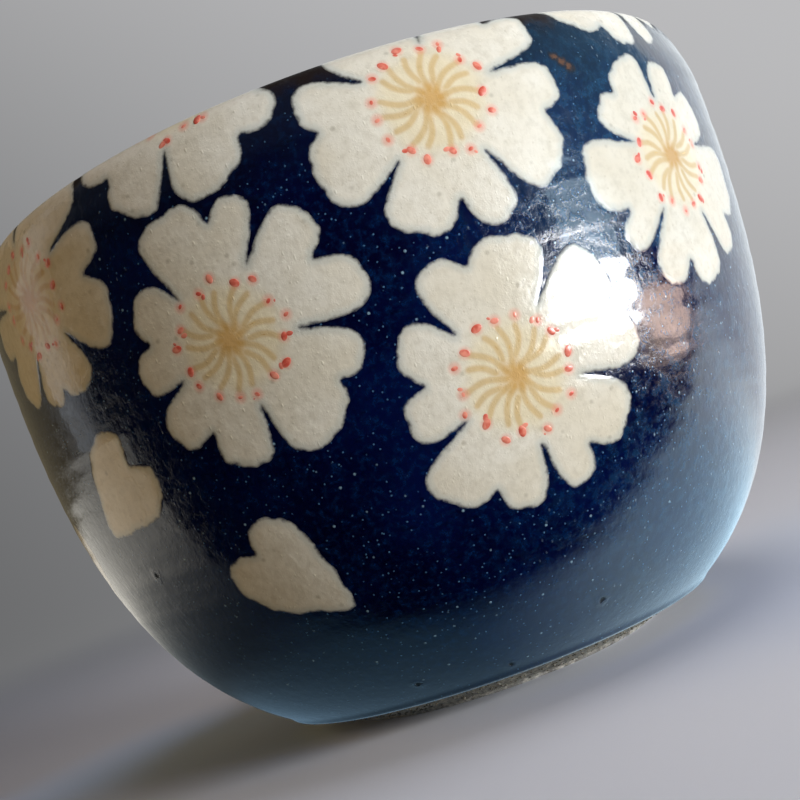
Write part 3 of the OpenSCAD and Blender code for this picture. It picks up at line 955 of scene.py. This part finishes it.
# Outline of a loose petal from its point: shares of its length along and across
loose_outline = np.array([
    (0, 0), (0.2, 0.15), (0.42, 0.31), (0.64, 0.4), (0.84, 0.39), (0.96, 0.29), (1, 0.18),
    (0.95, 0.08), (0.84, 0), (0.93, -0.09), (0.98, -0.19), (0.94, -0.31), (0.8, -0.4),
    (0.6, -0.38), (0.38, -0.27), (0.18, -0.13),
])
loose_finish = white_finish("white_loose_petal", False)
for number, (azimuth, share, turn) in enumerate(loose_petals, 1):
    c, s = math.cos(math.radians(turn)), math.sin(math.radians(turn))
    laid = (loose_outline - (0.5, 0)) * loose_length @ np.array([(c, s), (-s, c)])
    name = f"loose_petal_{number}"
    made = painted_patch(
        name + "_white", azimuth, up_of(share), brushed(laid, number, 3),
        np.concatenate([np.linspace(0.08, 0.88, 12), (0.92, 0.95, 0.975, 1)]), loose_finish)
    stands_for(made, "petal_white", name)

# ---------------------------------------------------------------------------------------
# Stage: a pale grey paper sweep that the cup stands on, a soft lamp low on the right, and a
# camera close to the table, tilted and rolled as the photograph's was.
bend = np.linspace(0.1, math.pi / 2, 16)
bend_r, bend_starts, paper_front, paper_top, half_width = 300, 380, -900, 1500, 1400
sweep_path = [
    (paper_front, 0), (bend_starts, 0),
    *zip(bend_starts + bend_r * np.sin(bend), bend_r - bend_r * np.cos(bend)),
    (bend_starts + bend_r, paper_top),
]
mesh = bpy.data.meshes.new("sweep")
mesh.from_pydata(
    [(x * MM, y * MM, z * MM) for y, z in sweep_path for x in (-half_width, half_width)], [],
    [(2 * k, 2 * k + 1, 2 * k + 3, 2 * k + 2) for k in range(len(sweep_path) - 1)])
paper_finish, tree, shader = new_finish("grey_paper", Roughness=0.9)
here = millimetres(tree)
grey = mix(tree, cloud(tree, here, 0.02), (0.83, 0.86, 0.96), (0.86, 0.89, 0.99))
path = put(tree, "ShaderNodeLightPath").outputs
spot = put(tree, "ShaderNodeSeparateXYZ", Vector=here).outputs
# Painted shade: the paper is darker towards -X, the cup's shadow side, and bluer there against the
# warm lamp
grey = mix(tree, fade(tree, spot["X"], -120, 50), (0.27, 0.31, 0.42), grey)
# Painted cool light in the cup's shadow: the paper is bluer there, so that the shadow, lit mostly
# by the warm lamp, comes out grey. Measured along the shadow and across it, from the cup
along = calc(tree, "MULTIPLY_ADD", spot["X"], -0.8, product(tree, spot["Y"], 0.6))
across = calc(tree, "MULTIPLY_ADD", spot["X"], 0.6, product(tree, spot["Y"], 0.8))
shade = product(
    tree, fade(tree, along, -4, 12), fade(tree, along, 40, 66, 1, 0),
    fade(tree, across, -30, -14), fade(tree, across, -4, 16, 1, 0),
)
grey = mix(tree, shade, grey, (0.46, 0.61, 0.9))
plug(tree, shader["Base Color"], mix(tree, path["Is Diffuse Ray"], grey, (0.32, 0.26, 0.17)))
# Far off, the camera sees the paper in a plain grey that is paler to the right and upwards; its
# darker lower left is painted shade
side = calc(tree, "MULTIPLY_ADD", spot["X"], 0.00059, product(tree, spot["Z"], 0.0005))
backdrop = mix(tree, fade(tree, side, -0.2, 0.3), (0.125, 0.127, 0.13), (0.5, 0.5, 0.51))
# Painted reflection: for the glaze's reflections the paper glows, from left to right, past the
# cup, by its foot and, up the bend, behind it, darker by the foot on the left as painted shadow.
# On the near side it is black in reflections, standing for the dark room that the camera stood in.
mirrored = (0.78, 0.75, 0.67)
for low, high, colour in (
    (-110, -30, (0.055, 0.075, 0.09)), (-32, 4, (0.07, 0.24, 0.4)),
    (-4, 18, (0.85, 1.25, 1.55)), (20, 75, (1.6, 1.8, 1.9)),
):
    mirrored = mix(tree, fade(tree, spot["X"], low, high), mirrored, colour)
past_cup = product(tree, fade(tree, spot["X"], 0, 20), fade(tree, spot["Y"], 4, 50))
mirrored = mix(tree, past_cup, mirrored, (0.95, 1.02, 1.08))
from_axis = put(tree, "ShaderNodeVectorMath", {"operation": "LENGTH"})
plug(tree, from_axis.inputs[0], here)
by_foot = mix(tree, fade(tree, spot["X"], -2, 16), (0.16, 0.26, 0.36), (0.54, 0.74, 0.9))
mirrored = mix(tree, fade(tree, from_axis.outputs["Value"], 12, 36), by_foot, mirrored)
behind = mix(tree, fade(tree, spot["X"], -200, 60), (0.13, 0.11, 0.07), (1, 1.07, 1.12))
mirrored = mix(tree, fade(tree, spot["Z"], 1, 25), mirrored, behind)
near_side = calc(tree, "MULTIPLY_ADD", calc(tree, "MAXIMUM", spot["X"], 33.0), -0.26, spot["Y"])
black_in_gloss = product(tree, path["Is Glossy Ray"], fade(tree, near_side, -38.5, -32.5, 1, 0))
plain = put(
    tree, "ShaderNodeEmission", Color=mix(tree, path["Is Glossy Ray"], backdrop, mirrored),
    Strength=calc(tree, "SUBTRACT", 1.0, black_in_gloss))
far_off = product(tree, path["Is Camera Ray"], fade(tree, spot["Y"], 60, 420))
shown = put(tree, "ShaderNodeMixShader", Fac=calc(tree, "MAXIMUM", far_off, path["Is Glossy Ray"]))
tree.links.new(tree.nodes["Principled BSDF"].outputs[0], shown.inputs[1])
tree.links.new(plain.outputs[0], shown.inputs[2])
plug(tree, tree.nodes["Material Output"].inputs["Surface"], shown.outputs[0])
sweep = as_piece("grey_sweep", mesh, paper_finish)


def lamp(name, azimuth, elevation, distance, target, wide, high, glow, colour, aside=(0, 0)):
    """An oval lamp that faces a target from an azimuth, an elevation and a distance, moved
    aside and up in its own plane; its glow is the brightness of its face."""
    data = bpy.data.lights.new(name, "AREA")
    data.shape = "ELLIPSE"
    data.size, data.size_y, data.color = wide * MM, high * MM, colour
    data.energy = glow * math.pi * math.pi / 4 * wide * high * MM * MM
    made = bpy.data.objects.new(name, data)
    turn, rise = math.radians(azimuth), math.radians(elevation)
    flat = math.cos(rise)
    away = Vector((math.sin(turn) * flat, -math.cos(turn) * flat, math.sin(rise)))
    facing = away.to_track_quat("Z", "Y")
    shift = facing @ Vector((*aside, 0))
    made.location = (Vector(target) + away * distance + shift) * MM
    made.rotation_euler = facing.to_euler()
    made.visible_camera = False
    bpy.context.scene.collection.objects.link(made)
    return made


# Lamps that light the cup but stay out of its gloss
for made in (
    lamp("soft_key", 53, 6, 480, (0, 0, 25), 220, 220, 25, (0.99, 1, 1)),
    lamp("over_table", 60, 76, 600, (0, 0, 25), 300, 300, 3.7, (0.96, 0.98, 1.05)),
    lamp("warm_side", -100, 16, 380, (0, 0, 25), 270, 270, 2.1, (1, 0.64, 0.25)),
):
    made.visible_glossy = False
# Panes that the glaze reflects
for made in (
    lamp("window_pane", 63, -2, 92, (28, -14, 22), 60, 30, 28, (0.96, 0.98, 1), (-21, -7)),
    lamp("window_top", 63, -2, 92, (28, -14, 22), 38, 26, 4, (0.6, 0.84, 1), (-15, 14)),
    lamp("warm_card", 88, -12, 40, (31, 0, 24), 23, 12, 6, (1, 0.72, 0.58), (-26.5, -2)),
    lamp("warm_card_foot", 88, -12, 40, (31, 0, 24), 22, 14, 2, (1, 0.78, 0.66), (-29, -8)),
):
    made.visible_diffuse = False

world = bpy.data.worlds.new("room")
bpy.context.scene.world = world
world.use_nodes = True
tree = world.node_tree
way = put(
    tree, "ShaderNodeSeparateXYZ",
    Vector=put(tree, "ShaderNodeTexCoord").outputs["Generated"]).outputs
path = put(tree, "ShaderNodeLightPath").outputs
# The room as it lights the cup, as the glaze reflects it and as the camera sees it
lights = mix(tree, fade(tree, way["X"], -0.8, 0.8), (0.06, 0.042, 0.02), (0.09, 0.09, 0.09))
mirrored = mix(tree, fade(tree, way["Y"], 0.12, 0.28), (0.008, 0.008, 0.01), (0.62, 0.65, 0.68))
mirrored = mix(tree, fade(tree, way["Z"], 0.3, 0.8), mirrored, (0.05, 0.06, 0.08))
mirrored = mix(tree, fade(tree, way["X"], 0.55, 0.9), mirrored, (0.2, 0.45, 0.7))
room = mix(tree, path["Is Glossy Ray"], lights, mirrored)
plug(tree, tree.nodes["Background"].inputs["Color"], mix(
    tree, path["Is Camera Ray"], room, (0.2, 0.205, 0.22)))

data = bpy.data.cameras.new("camera")
data.lens, data.sensor_width = 58.09, 36
data.clip_start, data.clip_end = 0.001, 20
camera = bpy.data.objects.new("camera", data)
bpy.context.scene.collection.objects.link(camera)
# Fitted to the cup's outline in the photograph: lens, way it looks, roll and place
ahead = Vector((-0.00845854, 0.99854185, 0.05331627)).normalized()
level = ahead.cross(Vector((0, 0, 1))).normalized()
above = level.cross(ahead)
roll = math.radians(-19.555)
right = math.cos(roll) * level + math.sin(roll) * above
top = -math.sin(roll) * level + math.cos(roll) * above
camera.matrix_world = Matrix.Translation(Vector((0, -116.229, 18.727)) * MM) @ Matrix(
    (right, top, -ahead)).transposed().to_4x4()
bpy.context.scene.camera = camera
bpy.context.scene.view_settings.view_transform = "Standard"
